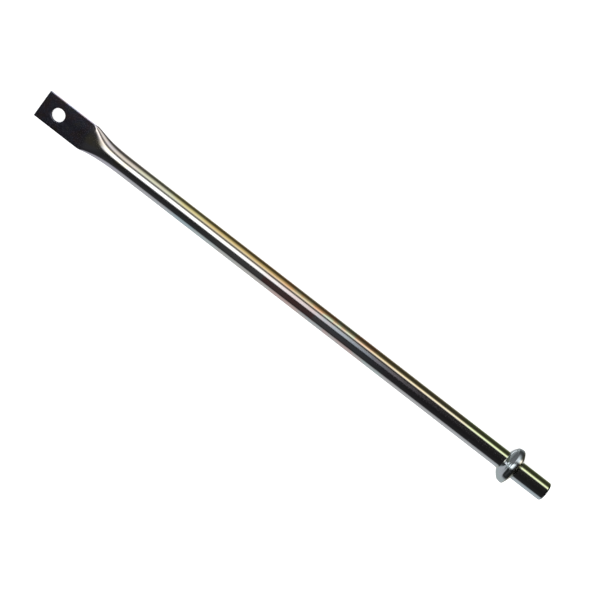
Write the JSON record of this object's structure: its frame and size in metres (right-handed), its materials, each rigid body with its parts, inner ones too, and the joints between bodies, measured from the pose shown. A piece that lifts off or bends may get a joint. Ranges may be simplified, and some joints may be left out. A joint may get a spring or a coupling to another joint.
{
  "type": "paint mixer shaft",
  "caption": "Plated tubular shaft of a drill paint mixer, with a flat pierced end for the mixing blade and a stop collar beside its round drive end.",
  "frame": {"origin": "centre of the drive end's face, on the shaft's axis", "axes": "+X along the shaft from the drive end to the pierced flat end, +Z square to the flat, +Y across it"},
  "size_m": [0.393, 0.0248, 0.0248],
  "materials": {
    "plated_tube": "polished",
    "plated_collar": "gloss",
    "plated_braze": "gloss",
    "plug_steel": "satin"
  },
  "bodies": {
    "root": {"shaft_tube": "plated_tube", "stop_collar": "plated_collar", "blade_side_braze": "plated_braze", "drive_side_braze": "plated_braze", "shank_plug": "plug_steel"}
  },
  "joints": []
}
